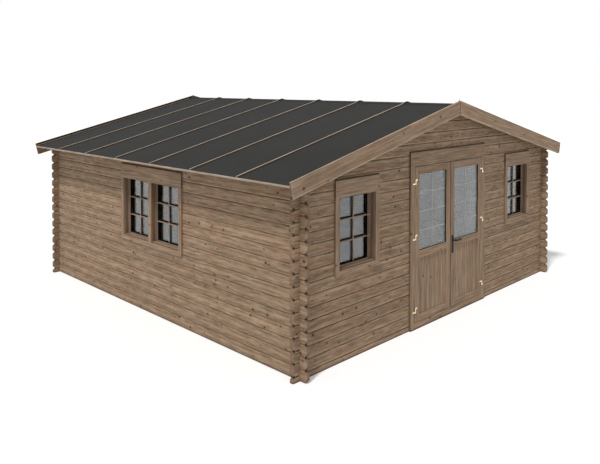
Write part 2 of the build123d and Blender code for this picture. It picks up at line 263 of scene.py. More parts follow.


# stained softwood: streaks and patches along the grain, growth rings, knots, darker end grain, worn edges,
# and painted highlights and painted shade where marked
logLook = {
    "grey": screen(136, 115, 92), "red": screen(146, 116, 92), "light": screen(186, 166, 141),
    "dark": screen(90, 70, 53), "halo": screen(120, 85, 63), "knot": screen(56, 38, 27),
    # the last colour on the next line is the painted shade
    "end": screen(118, 94, 74), "paintedShade": screen(58, 42, 31),
    "streak": (7, 52, 52), "patch": (4, 14, 14), "hue": (5, 20, 20),
    "hueRange": (0.36, 0.64), "lightRange": (0.5, 0.78), "darkRange": (0.5, 0.24),   # in noise levels
    # the pale entries set the painted highlight band along each log
    "lightShare": 0.7, "darkShare": 0.7, "spread": 0.15, "highlightShare": 0.36, "highlightReach": 0.020,
    "ringScale": 46, "ringStretch": (0.3, 1, 1), "ringRange": (0.55, 1.0), "ringShare": 0.16,
    "knotDensity": 6.4, "knotSize": 0.012, "knotStretch": 0.8, "knotWobble": 45,
    "haloRange": (2.6, 0.9), "knotRange": (1.15, 0.75),   # in sizes of the knot
    # the foot entries set the painted contact shade at the foot of the wood
    "haloShare": 0.45, "knotShare": 0.92, "endShare": 0.55, "foot": 0.022, "footShadeShare": 0.7,
    # edge wear and painted highlights share this range and strength
    "wearLightRange": (0.35, 0.65), "wearLightShare": (0.2, 0.65),
    "roughness": 0.78, "roughSpread": 0.08, "specular": 0.25,
    "relief": 0.0012, "streakRelief": 0.6, "ringRelief": -0.25, "knotRelief": -0.5,
}
trimLook = dict(logLook, grey=screen(140, 120, 98), red=screen(149, 121, 99), streak=(3, 60, 60),
                spread=0.13, knotDensity=5.2)
# a darker copy of the trim wood: painted shade for the recessed sashes and window frames
recessShadeLook = dict(trimLook, grey=screen(112, 95, 78), red=screen(121, 96, 78), light=screen(146, 126, 106))
roofLook = dict(logLook, grey=screen(146, 124, 99), red=screen(156, 128, 102), light=screen(178, 156, 128))
battenLook = dict(logLook, grey=screen(160, 146, 128), red=screen(164, 146, 126),
                  light=screen(192, 178, 160), dark=screen(124, 104, 84))
floorLook = dict(logLook, grey=screen(178, 150, 114), red=screen(186, 150, 112),
                 light=screen(204, 178, 140), dark=screen(146, 112, 80), spread=0.1)


def growthRings(tree, grain, look):
    pattern = {"wave_type": "RINGS", "rings_direction": "X", "wave_profile": "SAW"}
    values = {"Vector": scaled(tree, grain, look["ringStretch"]), "Scale": look["ringScale"],
              "Distortion": 3.0, "Detail": 2.0, "Detail Scale": 0.6}
    return addNode(tree, "TexWave", pattern, values).outputs["Fac"]


# Knots lie on a scattered plane of points over the board, each with its own size and a halo round it
def knotPattern(tree, grain, look):
    parts = addNode(tree, "SeparateXYZ", {}, {"Vector": grain}).outputs
    along = scaledValue(tree, parts["X"], look["knotStretch"])
    across = calculate(tree, "ADD", parts["Y"], parts["Z"])
    plane = addNode(tree, "CombineXYZ", {}, {"X": along, "Y": across}).outputs[0]
    cells = addNode(tree, "TexVoronoi", {"voronoi_dimensions": "2D"},
                    {"Vector": plane, "Scale": look["knotDensity"]}).outputs
    size = addNode(tree, "SeparateColor", {}, {"Color": cells["Color"]}).outputs["Red"]
    size = remap(tree, size, 0.25, 1.0, 0.0, look["knotSize"] * look["knotDensity"])
    ratio = calculate(tree, "DIVIDE", cells["Distance"], calculate(tree, "ADD", size, 0.0001))
    wobble = noise(tree, grain, look["knotWobble"], 1, 0.5)
    ratio = calculate(tree, "ADD", ratio, noiseTo(tree, wobble, -0.25, 0.25))
    return remap(tree, ratio, *look["haloRange"]), remap(tree, ratio, *look["knotRange"])


def boardColour(tree, grain, streak, patch, rings, look):
    hue = noise(tree, scaled(tree, grain, look["hue"]), 1, 2, 0.5)
    colour = mixColour(tree, remap(tree, hue, *look["hueRange"]), look["grey"], look["red"])
    lightStreak = remap(tree, streak, *look["lightRange"], 0, look["lightShare"])
    colour = mixColour(tree, lightStreak, colour, look["light"])
    darkStreak = remap(tree, streak, *look["darkRange"], 0, look["darkShare"])
    colour = mixColour(tree, darkStreak, colour, look["dark"])
    ringLine = remap(tree, rings, *look["ringRange"], 0, look["ringShare"])
    colour = mixColour(tree, ringLine, colour, look["dark"])
    patchLevel = noiseTo(tree, patch, -0.5, 0.5)
    boardLevel = remap(tree, attribute(tree, "tone", "Fac"), 0, 1, -0.6, 0.6)
    level = calculate(tree, "ADD", patchLevel, boardLevel)
    value = remap(tree, level, -1, 1, 1 - look["spread"], 1 + look["spread"])
    return addNode(tree, "HueSaturation", {}, {"Color": colour, "Value": value}).outputs["Color"]


def paintedHighlightBand(tree, patch, look):   # painted highlight band along each log, where its rise is 1
    away = calculate(tree, "SUBTRACT", attribute(tree, "highlightRise", "Fac"), 1.0)
    away = calculate(tree, "ABSOLUTE", away, 0.0)
    pale = remap(tree, away, look["highlightReach"], look["highlightReach"] * 0.3, 0, look["highlightShare"])
    return calculate(tree, "MULTIPLY", pale, noiseTo(tree, patch, 0.5, 1))


def footContactShade(tree, look):   # painted contact shade, darkest where the wood meets the ground
    height = addNode(tree, "SeparateXYZ", {}, {"Vector": objectPlace(tree)}).outputs["Z"]
    return remap(tree, height, look["foot"], look["foot"] / 2, 0, look["footShadeShare"])


def woodMaterial(name, look):
    tree, shader, material = newMaterial(name)
    grain = attribute(tree, "grain", "Vector")
    streak = noise(tree, scaled(tree, grain, look["streak"]), 1, 4, 0.6)
    patch = noise(tree, scaled(tree, grain, look["patch"]), 1, 2, 0.5)
    rings = growthRings(tree, grain, look)
    halo, knot = knotPattern(tree, grain, look)

    colour = boardColour(tree, grain, streak, patch, rings, look)
    # painted highlight band along each log
    colour = mixColour(tree, paintedHighlightBand(tree, patch, look), colour, look["light"])
    colour = mixColour(tree, scaledValue(tree, halo, look["haloShare"]), colour, look["halo"])
    colour = mixColour(tree, scaledValue(tree, knot, look["knotShare"]), colour, look["knot"])
    ends = scaledValue(tree, attribute(tree, "endGrain", "Fac"), look["endShare"])
    colour = mixColour(tree, ends, colour, look["end"])
    # paler where edges are worn and where faces carry a painted highlight
    wearAndLightLevel = remap(tree, patch, *look["wearLightRange"], *look["wearLightShare"])
    wearAndLight = calculate(tree, "MULTIPLY", attribute(tree, "wearAndPaintedLight", "Fac"), wearAndLightLevel)
    colour = mixColour(tree, wearAndLight, colour, look["light"])
    # painted shade on marked faces and along the foot of the wood
    paintedShade = calculate(tree, "MAXIMUM", attribute(tree, "paintedShade", "Fac"), footContactShade(tree, look))
    colour = mixColour(tree, paintedShade, colour, look["paintedShade"])
    connect(tree, colour, shader.inputs["Base Color"])

    rough, smooth = look["roughness"] + look["roughSpread"], look["roughness"] - look["roughSpread"]
    connect(tree, noiseTo(tree, streak, rough, smooth), shader.inputs["Roughness"])
    shader.inputs["Specular IOR Level"].default_value = look["specular"]
    streakRelief = scaledValue(tree, streak, look["streakRelief"])
    relief = calculate(tree, "ADD", streakRelief, scaledValue(tree, rings, look["ringRelief"]))
    relief = calculate(tree, "ADD", relief, scaledValue(tree, knot, look["knotRelief"]))
    connect(tree, bump(tree, relief, look["relief"]), shader.inputs["Normal"])
    return material


logWood = woodMaterial("logWood", logLook)
trimWood = woodMaterial("trimWood", trimLook)
recessShadedWood = woodMaterial("recessShadedWood", recessShadeLook)
battenWood = woodMaterial("battenWood", battenLook)
roofWood = woodMaterial("roofWood", roofLook)
floorWood = woodMaterial("floorWood", floorLook)


# roofing felt: fine mineral grit over a dark sheet, a little uneven from place to place
feltLook = {"dark": screen(33, 33, 32), "light": screen(48, 47, 46), "grit": 420.0, "cloud": 1.6,
            "rough": 0.98, "smooth": 0.85, "specular": 0.2, "relief": 0.0015}


def feltMaterial(name, look):
    tree, shader, material = newMaterial(name)
    place = objectPlace(tree)
    grit = noise(tree, place, look["grit"], 2, 0.7)
    cloud = noise(tree, place, look["cloud"], 4, 0.6)
    gritLevel = noiseTo(tree, grit, 0, 0.6)
    cloudLevel = noiseTo(tree, cloud, 0, 0.4)
    level = calculate(tree, "ADD", gritLevel, cloudLevel)
    connect(tree, mixColour(tree, level, look["dark"], look["light"]), shader.inputs["Base Color"])
    connect(tree, noiseTo(tree, grit, look["rough"], look["smooth"]), shader.inputs["Roughness"])
    shader.inputs["Specular IOR Level"].default_value = look["specular"]
    connect(tree, bump(tree, grit, look["relief"], 0.6), shader.inputs["Normal"])
    return material


# metal, rubber and spacers share one plain finish with fine unevenness
brassLook = {
    "dark": (0.86, 0.70, 0.42, 1), "light": (0.98, 0.90, 0.68, 1), "fine": 900.0, "cloud": 60.0,
    "roughness": 0.24, "roughSpread": 0.07, "metal": 1.0, "specular": 0.5, "relief": 0.0002,
}
handleLook = dict(brassLook, dark=(0.010, 0.010, 0.011, 1), light=(0.022, 0.022, 0.024, 1),
                  fine=1400.0, cloud=40.0, roughness=0.55, metal=0.0, specular=0.15)
rubberLook = dict(handleLook, dark=(0.003, 0.003, 0.003, 1), light=(0.007, 0.006, 0.006, 1),
                  fine=700.0, cloud=25.0, roughness=0.7, specular=0.08)
spacerLook = dict(handleLook, dark=screen(186, 176, 160), light=screen(200, 190, 174),
                  fine=800.0, cloud=30.0, roughness=0.5, specular=0.3)


def coatedMaterial(name, look):
    tree, shader, material = newMaterial(name)
    place = objectPlace(tree)
    fine = noise(tree, place, look["fine"], 3, 0.6)
    cloud = noise(tree, place, look["cloud"], 2, 0.5)
    level = noiseTo(tree, cloud)
    connect(tree, mixColour(tree, level, look["dark"], look["light"]), shader.inputs["Base Color"])
    smooth, rough = look["roughness"] - look["roughSpread"], look["roughness"] + look["roughSpread"]
    connect(tree, noiseTo(tree, fine, smooth, rough), shader.inputs["Roughness"])
    shader.inputs["Metallic"].default_value = look["metal"]
    shader.inputs["Specular IOR Level"].default_value = look["specular"]
    connect(tree, bump(tree, fine, look["relief"], 0.5), shader.inputs["Normal"])
    return material


# clear glass with a thin uneven film of dust
glassLook = {"clear": (0.74, 0.77, 0.78, 1), "dusty": (0.68, 0.70, 0.71, 1), "film": 3.0, "ior": 1.6}


def glassMaterial(name, look):
    tree, shader, material = newMaterial(name)
    film = remap(tree, noise(tree, objectPlace(tree), look["film"], 3, 0.5), 0.35, 0.65)
    connect(tree, mixColour(tree, film, look["clear"], look["dusty"]), shader.inputs["Base Color"])
    shader.inputs["Roughness"].default_value = 0.0
    shader.inputs["Transmission Weight"].default_value = 1.0
    shader.inputs["IOR"].default_value = look["ior"]
    return material


felt = feltMaterial("roofFelt", feltLook)
brass = coatedMaterial("hingeBrass", brassLook)
blackMetal = coatedMaterial("handleBlack", handleLook)
rubber = coatedMaterial("glazingRubber", rubberLook)
paleSpacer = coatedMaterial("paleSpacer", spacerLook)
glass = glassMaterial("clearGlass", glassLook)
print("materials:", len(bpy.data.materials))


# places read from the frame
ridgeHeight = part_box("ridge_purlin")[1].z
wallCentre = sum(c.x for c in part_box("right_wall_odd_logs")) / 2
wallPlaces = {
    "front": Matrix.Translation((0, -wallCentre, 0)),
    "left": Matrix.Translation((-wallCentre, 0, 0)) @ Matrix.Rotation(-math.pi / 2, 4, "Z"),
}


def solidBoxes(nodeName, wall):   # box of each solid of a node, in the frame of its wall
    bm = mergedCopy(nodeName)
    inward = wallPlaces[wall].inverted()
    boxes = [corners([inward @ v.co for v in group]) for group in islands(bm)]
    bm.free()
    return sorted(boxes, key=lambda box: box[0].x)


def placed(bm, wall):
    bmesh.ops.transform(bm, matrix=wallPlaces[wall], verts=bm.verts)
    return bm


# logs: the CAD logs with rounded tips, eased edges and a grain of their own
logSettings = {
    "tipReach": 0.030, "tipRound": 0.008, "tipSegments": 3, "tipAngle": 0.3, "longestTipEdge": 0.16,
    "tipNotchShade": ((1.0, 1.0), (0.65, 0.5), (0.25, 0.1)),   # share of the reach, painted shade
    "tipSlant": 0.25, "chamferSlant": (0.3, 0.95),   # how far such faces point up or down
    # the last entry on the next line is a painted highlight on down-facing chamfers, against the shadow in
    # the groove
    "edge": 0.0025, "edgeAngle": 38, "footChamferLight": 1.1,
    "jointShade": 0.12, "sideSunlitTop": 1.25, "gableSunlitTop": 0.95,   # painted shade on joints below these heights only; the eave shadow falls on the joints above
    # where the painted highlight band lies in each course, by wall and by height
    "course": 0.114, "sideHighlight": 0.5, "lowGableHighlight": 0.1, "highGableHighlight": 0.79,   # in courses
    "highGableFoot": 0.6, "seed": 21,
}
sideWalls = ("left", "right")


def isChamfer(slant):   # neither an upright face nor a level one
    least, most = logSettings["chamferSlant"]
    return least < slant < most


def finishLogs(bm, wall):
    s = logSettings
    axis = 1 if wall in sideWalls else 0   # the logs run along it
    sunlitJointTop = s["sideSunlitTop"] if wall in sideWalls else s["gableSunlitTop"]
    low, high = corners([v.co for v in bm.verts])

    def fromEnd(point):
        return min(point[axis] - low[axis], high[axis] - point[axis])

    for group in islands(bm):
        edges = [e for e in edgesOf(group) if e.calc_length() < s["longestTipEdge"]]
        tips = [e for e in edges if e.calc_face_angle(0) > s["tipAngle"]
                and all(fromEnd(v.co) < s["tipReach"] for v in e.verts)]
        bevelEdges(bm, tips, s["tipRound"], s["tipSegments"])
    softenEdges(bm, s["edge"], 2, s["edgeAngle"])
    markFaces(bm, "wearAndPaintedLight", 0.0, lambda normal, middle: isChamfer(normal.z))
    # painted highlight on the down-facing chamfers, against the shadow in the groove
    markFaces(bm, "wearAndPaintedLight", s["footChamferLight"], lambda normal, middle: isChamfer(-normal.z))
    # painted shade on the up-facing chamfers where the sun reaches them, below the eave shadow
    markFaces(bm, "paintedShade", s["jointShade"],
              lambda normal, middle: isChamfer(normal.z) and middle.z < sunlitJointTop)
    markFaces(bm, "wearAndPaintedLight", 0.0, lambda normal, middle: fromEnd(middle) < s["tipReach"])
    for share, paintedShade in s["tipNotchShade"]:   # painted shade, darkest at the bottom of the notch between two tips
        reach = s["tipReach"] * share
        markFaces(bm, "paintedShade", paintedShade,
                  lambda normal, middle: fromEnd(middle) < reach and abs(normal.z) > s["tipSlant"])


def layHighlightBands(bm, wall):   # painted highlight band along each log, where the rise is 1; its place in the course differs by wall and height, as the light falls
    s = logSettings
    highlightRise = bm.verts.layers.float.new("highlightRise")
    for group in islands(bm):
        foot = min(v.co.z for v in group)
        if wall in sideWalls:
            share = s["sideHighlight"]
        else:
            share = s["lowGableHighlight"] if foot < s["highGableFoot"] else s["highGableHighlight"]
        streak = foot + share * s["course"]
        for vert in group:
            vert[highlightRise] = 1 + vert.co.z - streak


for number, wall in enumerate(("left", "right", "front", "rear")):
    for part, courses in enumerate(("odd", "even")):
        node = f"{wall}_wall_{courses}_logs"
        bm = mergedCopy(node)
        finishLogs(bm, wall)
        layHighlightBands(bm, wall)
        layGrain(bm, logSettings["seed"] + 2 * number + part)
        makePiece(f"{wall}Wall{courses.title()}Logs", bm, "cabin", logWood, [node])
print("logs laid")


# roof: purlins, boards from ridge to eave, felt, battens, trims and bargeboards
roofSettings = {
    "pitch": math.radians(13.5), "edge": 0.002, "seed": 61,
    "boardThickness": 0.018, "boardWidth": 0.110, "boardGap": 0.001, "boardEdge": 0.003,
    "battenSideShade": 0.8, "bargeHeight": 0.158, "bargeRound": 0.018, "bargeSegments": 3, "bargeAngle": 38,
    "bargeTopLight": 1.0, "bargeFootLight": 1.5, "roundedSlant": (0.2, 0.97),
    "feltThickness": 0.003, "upstand": 0.002, "upstandStart": 0.01, "fillet": 0.009, "filletStart": 0.08,
    "tongueRise": 0.010, "tongueDepth": 0.005,
}


def slopePlace(side):   # X down the slope, Z out of it, from the ridge
    turn = Matrix.Rotation(0 if side > 0 else math.pi, 4, "Z")
    return turn @ Matrix.Translation((0, 0, ridgeHeight)) @ Matrix.Rotation(roofSettings["pitch"], 4, "Y")


def boardRow(bm, low, high, axis, width, gap, edge):
    count = round((high[axis] - low[axis]) / width)
    pitch = (high[axis] - low[axis]) / count
    for number in range(count):
        start, end = Vector(low), Vector(high)
        start[axis] = low[axis] + number * pitch + gap / 2
        end[axis] = low[axis] + (number + 1) * pitch - gap / 2
        addBoard(bm, start, end, edge, 1)


def carriedWood(node, name, material, seed):
    bm = mergedCopy(node)
    softenEdges(bm, roofSettings["edge"])
    layGrain(bm, seed)
    makePiece(name, bm, "cabin", material, [node])


def layRoofBoards(side, word, run, low, high, downhill):
    s = roofSettings
    bm = newMesh()
    boardRow(bm, (0, low.y, 0), (run, high.y, s["boardThickness"]), 1,
             s["boardWidth"], s["boardGap"], s["boardEdge"])
    bmesh.ops.transform(bm, matrix=slopePlace(side), verts=bm.verts)
    layGrain(bm, s["seed"] + 3 + side, downhill)
    makePiece(f"{word}RoofBoards", bm, "cabin", roofWood, [f"{word}_roof_boards"])


def layBattens(node, name, seed, downhill):   # painted highlight on top, painted shade at the sides
    bm = mergedCopy(node)
    softenEdges(bm, roofSettings["edge"])
    facing = meshSettings["facing"]
    markFaces(bm, "wearAndPaintedLight", 1.0, lambda normal, middle: normal.z > facing)
    markFaces(bm, "paintedShade", roofSettings["battenSideShade"], lambda normal, middle: abs(normal.y) > facing)
    layGrain(bm, seed, downhill)
    makePiece(name, bm, "cabin", battenWood, [node])


# A bargeboard's lower outer edge is rounded over and given a painted highlight, and its top has a painted
# highlight too
def fitBargeboard(node, name, end, seed, downhill):
    s = roofSettings
    touch = meshSettings["touch"]
    bm = mergedCopy(node)
    run = Vector(downhill)
    out = Vector((-run.z, 0, run.x)) * (1 if run.x > 0 else -1)
    low, high = corners([v.co for v in bm.verts])
    outer = low.y if end == "front" else high.y
    foot = min(v.co.dot(out) for v in bm.verts)

    def onLowerEdge(point):
        return abs(point.y - outer) < touch and point.dot(out) - foot < touch

    def onRounding(normal, middle):
        least, most = s["roundedSlant"]
        return least < -normal.dot(out) < most and abs(normal.y) > least

    lower = [e for e in bm.edges if all(onLowerEdge(v.co) for v in e.verts)]
    bevelEdges(bm, lower, s["bargeRound"], s["bargeSegments"])
    softenEdges(bm, s["edge"], 2, s["bargeAngle"])
    markFaces(bm, "wearAndPaintedLight", s["bargeTopLight"],
              lambda normal, middle: normal.dot(out) > meshSettings["facing"])
    markFaces(bm, "wearAndPaintedLight", s["bargeFootLight"], onRounding)
    layGrain(bm, seed, downhill)
    makePiece(name, bm, "cabin", trimWood, [node])


# The felt is turned up the inner faces of the bargeboards, behind a thin fillet
def turnUpFelt(side, word, run, low, high, downhill):
    s = roofSettings
    feltTop = s["boardThickness"] + s["feltThickness"]
    filletTop = feltTop + s["fillet"]
    bargeTop = (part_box(f"front_{word}_bargeboard")[1].z - ridgeHeight) * math.cos(s["pitch"])
    upstandBm, filletBm = newMesh(), newMesh()
    for edge, inward in ((low.y, 1), (high.y, -1)):
        near = edge + inward * s["upstand"]
        far = edge + inward * s["fillet"]
        addBoard(upstandBm, (s["upstandStart"], min(edge, near), feltTop), (run, max(edge, near), bargeTop),
                 meshSettings["thinEdge"], 1)
        addBoard(filletBm, (s["filletStart"], min(near, far), feltTop), (run, max(near, far), filletTop),
                 meshSettings["stripEdge"], 1)
    for bm in (upstandBm, filletBm):
        bmesh.ops.transform(bm, matrix=slopePlace(side), verts=bm.verts)
    makePiece(f"{word}FeltUpstands", upstandBm, "cabin", felt)
    layGrain(filletBm, s["seed"] + 15 + side, downhill)
    makePiece(f"{word}FeltFillets", filletBm, "cabin", trimWood)


def coverSlope(side, word):
    s = roofSettings
    sine, cosine = math.sin(s["pitch"]), math.cos(s["pitch"])
    downhill = (side * cosine, 0, -sine)
    low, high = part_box(f"{word}_roof_boards")
    run = (max(abs(low.x), abs(high.x)) - s["boardThickness"] * sine) / cosine
    layRoofBoards(side, word, run, low, high, downhill)
    bm = mergedCopy(f"{word}_roof_felt")
    makePiece(f"{word}RoofFelt", bm, "cabin", felt, [f"{word}_roof_felt"])
    layBattens(f"{word}_felt_battens", f"{word}FeltBattens", s["seed"] + 6 + side, downhill)
    for number, end in enumerate(("front", "rear")):
        fitBargeboard(f"{end}_{word}_bargeboard", f"{end}{word.title()}Bargeboard", end,
                      s["seed"] + 9 + side + 2 * number, downhill)
    turnUpFelt(side, word, run, low, high, downhill)


def fitTongues():   # a tongue of felt closes the gap between two bargeboards
    s = roofSettings
    slack = meshSettings["slack"]
    bm = newMesh()
    for end, outward in (("front", -1), ("rear", 1)):
        low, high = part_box(f"{end}_right_bargeboard")
        back = high.y if end == "front" else low.y
        tip = back + outward * s["tongueDepth"]
        foot = high.z - s["bargeHeight"] / math.cos(s["pitch"])
        top = high.z + s["tongueRise"]
        addBoard(bm, (slack - low.x, min(back, tip), foot), (low.x - slack, max(back, tip), top),
                 meshSettings["stripEdge"], 1)
    makePiece("feltTongues", bm, "cabin", felt)


carriedWood("ridge_purlin", "ridgePurlin", roofWood, roofSettings["seed"])
carriedWood("side_purlins", "sidePurlins", roofWood, roofSettings["seed"] + 1)
carriedWood("eave_trims", "eaveTrims", battenWood, roofSettings["seed"] + 2)
coverSlope(-1, "left")
coverSlope(1, "right")
bm = mergedCopy("ridge_felt_strip")
softenEdges(bm, meshSettings["stripEdge"])
makePiece("ridgeFeltStrip", bm, "cabin", felt, ["ridge_felt_strip"])
fitTongues()
print("roof covered")


# floor inside: boards on bearers
floorSettings = {"boardWidth": 0.112, "gap": 0.0015, "edge": 0.002, "seed": 91}
bm = newMesh()
boardRow(bm, *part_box("floor_boards"), 0, floorSettings["boardWidth"], floorSettings["gap"],
         floorSettings["edge"])
layGrain(bm, floorSettings["seed"])
makePiece("floorBoards", bm, "cabin", floorWood, ["floor_boards"])
carriedWood("floor_bearers", "floorBearers", floorWood, floorSettings["seed"] + 1)
print("floor laid")


# joinery that windows and doors share, in the frame of their wall with the outside towards -Y

def frameBoards(bm, low, high, widths, edge):   # two uprights with the rails between them
    left, right, bottom, top = widths
    addBoard(bm, low, (low.x + left, high.y, high.z), edge)
    addBoard(bm, (high.x - right, low.y, low.z), high, edge)
    addBoard(bm, (low.x + left, low.y, low.z), (high.x - right, high.y, low.z + bottom), edge)
    addBoard(bm, (low.x + left, low.y, high.z - top), (high.x - right, high.y, high.z), edge)


def shadeOutline(bm, low, high, amount):   # painted shade on the outer side and top faces of a trim, where its shadow line falls
    near = meshSettings["onEdge"]

    def onOutline(normal, middle):
        onSide = middle.z > low.z and min(abs(middle.x - low.x), abs(middle.x - high.x)) < near
        return onSide or (abs(middle.z - high.z) < near and low.x < middle.x < high.x)

    markFaces(bm, "paintedShade", amount, onOutline)


def addShadeStrip(bm, low, high, s):   # strip with painted shade along the top of a head board, where the shadow line above the trim falls
    height = s["shadeStripHeight"]
    addBoard(bm, (low.x, low.y + height / 2, high.z), (high.x, high.y, high.z + height),
             meshSettings["stripEdge"], 1)
    markFaces(bm, "paintedShade", s["shadeStripShare"], lambda normal, middle: True)


def lining(bm, low, high, thickness):   # four thin strips round an opening
    edge = meshSettings["thinEdge"]
    left, right = low.x + thickness, high.x - thickness
    addBoard(bm, low, (left, high.y, high.z), edge, 1)
    addBoard(bm, (right, low.y, low.z), high, edge, 1)
    addBoard(bm, (left, low.y, low.z), (right, high.y, low.z + thickness), edge, 1)
    addBoard(bm, (left, low.y, high.z - thickness), (right, high.y, high.z), edge, 1)


def barLines(low, high, columns, rows):
    uprights = [low.x + (high.x - low.x) * number / columns for number in range(1, columns)]
    levels = [low.z + (high.z - low.z) * number / rows for number in range(1, rows)]
    return uprights, levels


def barGrid(bm, low, high, s, edge, lip=0.0):   # a lip makes the level bars taller
    half = s["barWidth"] / 2
    uprights, levels = barLines(low, high, s["columns"], s["rows"])
    for x in uprights:
        addBoard(bm, (x - half, low.y, low.z), (x + half, high.y, high.z), edge, 1)
    stops = [low.x, *uprights, high.x]
    for z in levels:
        for first, second in zip(stops, stops[1:]):
            start = first + (half if first > low.x else 0)
            end = second - (half if second < high.x else 0)
            addBoard(bm, (start, low.y, z - half), (end, high.y, z + half + lip), edge, 1)


def frontOfPanes(low, high, s):
    return (low.y + high.y) / 2 - s["paneGap"] / 2 - s["paneThickness"]


def doublePane(bm, low, high, s):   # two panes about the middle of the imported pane
    middle = (low.y + high.y) / 2
    for side in (-1, 1):
        near = middle + side * s["paneGap"] / 2
        far = near + side * s["paneThickness"]
        addBoard(bm, (low.x, min(near, far), low.z), (high.x, max(near, far), high.z),
                 meshSettings["paneEdge"], 1)


def fitWood(name, bm, wall, body, wood, seed, replaced=()):
    layGrain(placed(bm, wall), seed)
    makePiece(name, bm, body, wood, replaced)


# windows: boards for frames, trims and sashes, black beads, two panes,
# and bars that are light in front and black at the sides
windowSettings = {
    "frameWidth": 0.038, "sillLight": 2.2, "edge": 0.002, "seed": 121,
    "trimWidth": 0.053, "headHeight": 0.165, "outlineShade": 0.5, "uprightOutlineShade": 0.15,
    "shadeStripHeight": 0.010, "shadeStripShare": 0.85,
    "stile": 0.054, "bottomRail": 0.020, "topRail": 0.045, "columns": 2, "rows": 3,
    "railLight": 1.6, "railUnderside": -0.2,
    "barWidth": 0.014, "barDepth": 0.004, "spacerDepth": 0.011, "spacerLip": 0.012,
    "clip": 0.0015, "clipTab": 0.030, "bead": 0.006, "beadInset": 0.004,
    "paneThickness": 0.003, "paneGap": 0.006,
}


def addMullions(bm, low, high, sashes, foot, head, edge):   # boards between two sashes
    inside = [box for box in sashes if low.x < box[0].x < high.x]
    for before, after in zip(inside, inside[1:]):
        addBoard(bm, (before[1].x, low.y, low.z + foot), (after[0].x, high.y, high.z - head), edge)


def windowFrames(frames, sashes):
    s = windowSettings
    width = s["frameWidth"]
    bm = newMesh()
    for low, high in frames:
        frameBoards(bm, low, high, [width] * 4, s["edge"])
        addMullions(bm, low, high, sashes, width, width, s["edge"])
    # painted highlight on the up-facing faces of the frames, such as the sills
    markFaces(bm, "wearAndPaintedLight", s["sillLight"], lambda normal, middle: normal.z > meshSettings["facing"])
    return bm


def windowTrims(trims, sashes):   # a head board over two uprights and a sill board
    s = windowSettings
    width, edge = s["trimWidth"], s["edge"]
    bm, shadeStripBm = newMesh(), newMesh()
    for low, high in trims:
        foot = high.z - s["headHeight"]
        addBoard(bm, (low.x, low.y, foot), high, edge)
        addBoard(bm, low, (low.x + width, high.y, foot), edge)
        addBoard(bm, (high.x - width, low.y, low.z), (high.x, high.y, foot), edge)
        addBoard(bm, (low.x + width, low.y, low.z), (high.x - width, high.y, low.z + width), edge)
        addMullions(bm, low, high, sashes, width, s["headHeight"], edge)
        # painted shade round each trim, deepest round the head board
        shadeOutline(bm, low, high, s["uprightOutlineShade"])
        shadeOutline(bm, Vector((low.x, low.y, foot)), high, s["outlineShade"])
        addShadeStrip(shadeStripBm, low, high, s)
    return bm, shadeStripBm


def addClips(bm, stileFront, low, high):   # they hold the level bars: along the bead and on to the stile
    s = windowSettings
    front, half, edge = stileFront - s["clip"], s["barWidth"] / 2, meshSettings["paneEdge"]
    for z in barLines(low, high, s["columns"], s["rows"])[1]:
        for x, outward in ((low.x, -1), (high.x, 1)):
            inner = x - outward * s["clip"]
            outer = x + outward * (s["bead"] + s["clipTab"])
            addBoard(bm, (min(inner, x), front, z - half), (max(inner, x), low.y, z + half), edge, 1)
            addBoard(bm, (min(outer, x), front, z - half), (max(outer, x), stileFront, z + half), edge, 1)


def windowSashes(sashes, panes):
    s = windowSettings
    widths = (s["stile"], s["stile"], s["bottomRail"], s["topRail"])
    sashBm, beadBm, barBm, paneBm = [newMesh() for _ in range(4)]
    for (low, high), (paneLow, paneHigh) in zip(sashes, panes):
        frameBoards(sashBm, low, high, widths, s["edge"])
        railTop = low.z + s["bottomRail"] + meshSettings["touch"]
        # painted highlight on the bottom rail of each sash
        markFaces(sashBm, "wearAndPaintedLight", s["railLight"],
                  lambda normal, middle: middle.z < railTop and normal.z > s["railUnderside"])
        paneFront = frontOfPanes(paneLow, paneHigh, s) - meshSettings["slack"]
        spacerFront = paneFront - s["spacerDepth"]
        barFront = spacerFront - s["barDepth"]
        openLow = Vector((low.x + s["stile"], low.y + s["beadInset"], low.z + s["bottomRail"]))
        openHigh = Vector((high.x - s["stile"], paneFront, high.z - s["topRail"]))
        lining(beadBm, openLow, openHigh, s["bead"])
        clearLow = openLow + Vector((s["bead"], 0, s["bead"]))
        clearHigh = openHigh - Vector((s["bead"], 0, s["bead"]))
        clearLow.y, clearHigh.y = spacerFront, paneFront
        barGrid(beadBm, clearLow, clearHigh, s, meshSettings["thinEdge"], s["spacerLip"])
        clearLow.y, clearHigh.y = barFront, spacerFront
        barGrid(barBm, clearLow, clearHigh, s, meshSettings["stripEdge"])
        addClips(barBm, low.y, clearLow, clearHigh)
        doublePane(paneBm, paneLow, paneHigh, s)
    return sashBm, beadBm, barBm, paneBm


def buildWindows(wall, name, frameNode, trimNode, sashNode, paneNode, seed):
    sashes = solidBoxes(sashNode, wall)
    frameBm = windowFrames(solidBoxes(frameNode, wall), sashes)
    trimBm, shadeStripBm = windowTrims(solidBoxes(trimNode, wall), sashes)
    sashBm, beadBm, barBm, paneBm = windowSashes(sashes, solidBoxes(paneNode, wall))
    fitWood(name + "Frames", frameBm, wall, "cabin", recessShadedWood, seed, [frameNode])
    fitWood(name + "Trims", trimBm, wall, "cabin", trimWood, seed + 1, [trimNode])
    fitWood(name + "Sashes", sashBm, wall, "cabin", recessShadedWood, seed + 2, [sashNode])
    fitWood(name + "Bars", barBm, wall, "cabin", trimWood, seed + 3)
    fitWood(name + "ShadeStrips", shadeStripBm, wall, "cabin", trimWood, seed + 4)
    makePiece(name + "Beads", placed(beadBm, wall), "cabin", rubber)
    makePiece(name + "Panes", placed(paneBm, wall), "cabin", glass, [paneNode])


